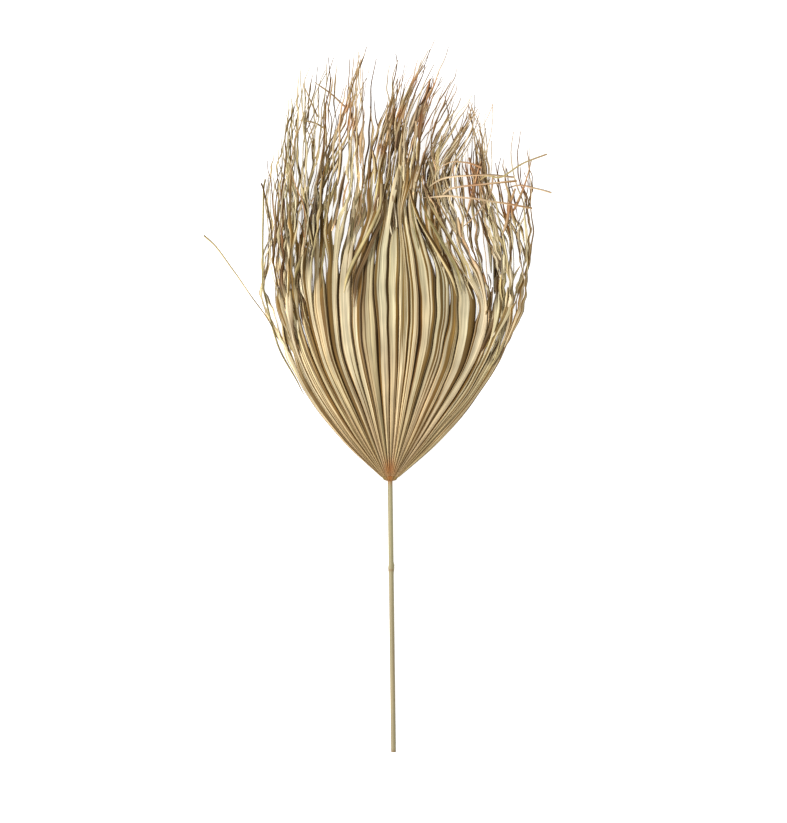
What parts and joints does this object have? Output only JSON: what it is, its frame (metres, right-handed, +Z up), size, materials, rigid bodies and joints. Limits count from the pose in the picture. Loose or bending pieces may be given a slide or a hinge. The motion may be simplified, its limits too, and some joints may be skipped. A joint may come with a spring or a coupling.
{
  "type": "dried palm leaf",
  "caption": "Dried fan palm leaf on its cut stem, with a pleated blade frayed into long narrow strips, lying face up.",
  "frame": {"origin": "on the surface that the leaf lies on, under the middle of its bounding box", "axes": "+Y along the stem towards the tips, +X to the right seen from above, +Z up"},
  "size_m": [0.4966, 0.992, 0.0632],
  "materials": {
    "straw": "dry, matt, fibrous leaf",
    "cane": "dry stem with a faint sheen"
  },
  "bodies": {
    "root": {"blade": "straw", "petiole": "cane"}
  },
  "joints": []
}
